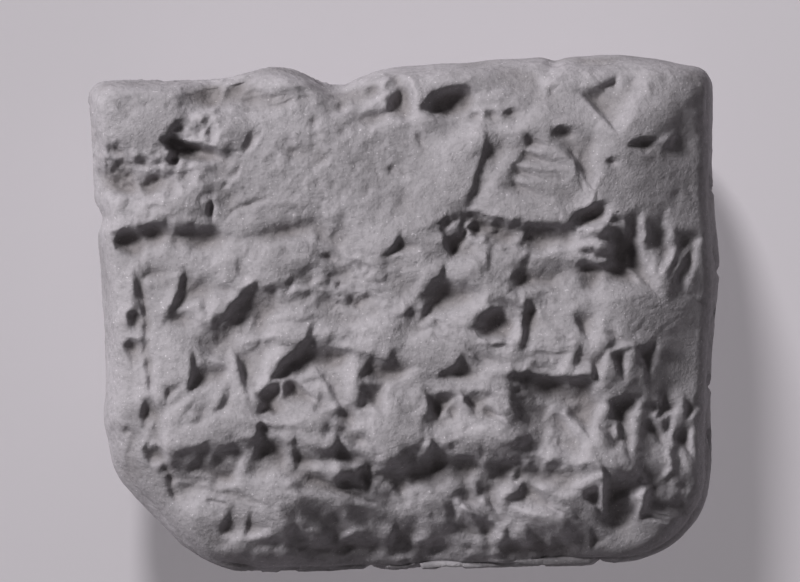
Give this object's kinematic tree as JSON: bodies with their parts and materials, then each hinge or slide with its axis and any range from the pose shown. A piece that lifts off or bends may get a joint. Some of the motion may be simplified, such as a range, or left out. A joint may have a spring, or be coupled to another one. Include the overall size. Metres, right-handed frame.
{
  "type": "cuneiform tablet",
  "caption": "Small pillow-shaped clay writing tablet, worn and chipped, with rows of wedge-shaped stylus strokes, lying on its back.",
  "frame": {"origin": "on the surface it lies on, under the middle of its plan box", "axes": "+X along the lines of writing, +Y up the page, +Z out of the written face"},
  "size_m": [0.0471, 0.0388, 0.0162],
  "materials": {
    "clay": "matte"
  },
  "bodies": {
    "root": {"tablet": "clay"}
  },
  "joints": []
}
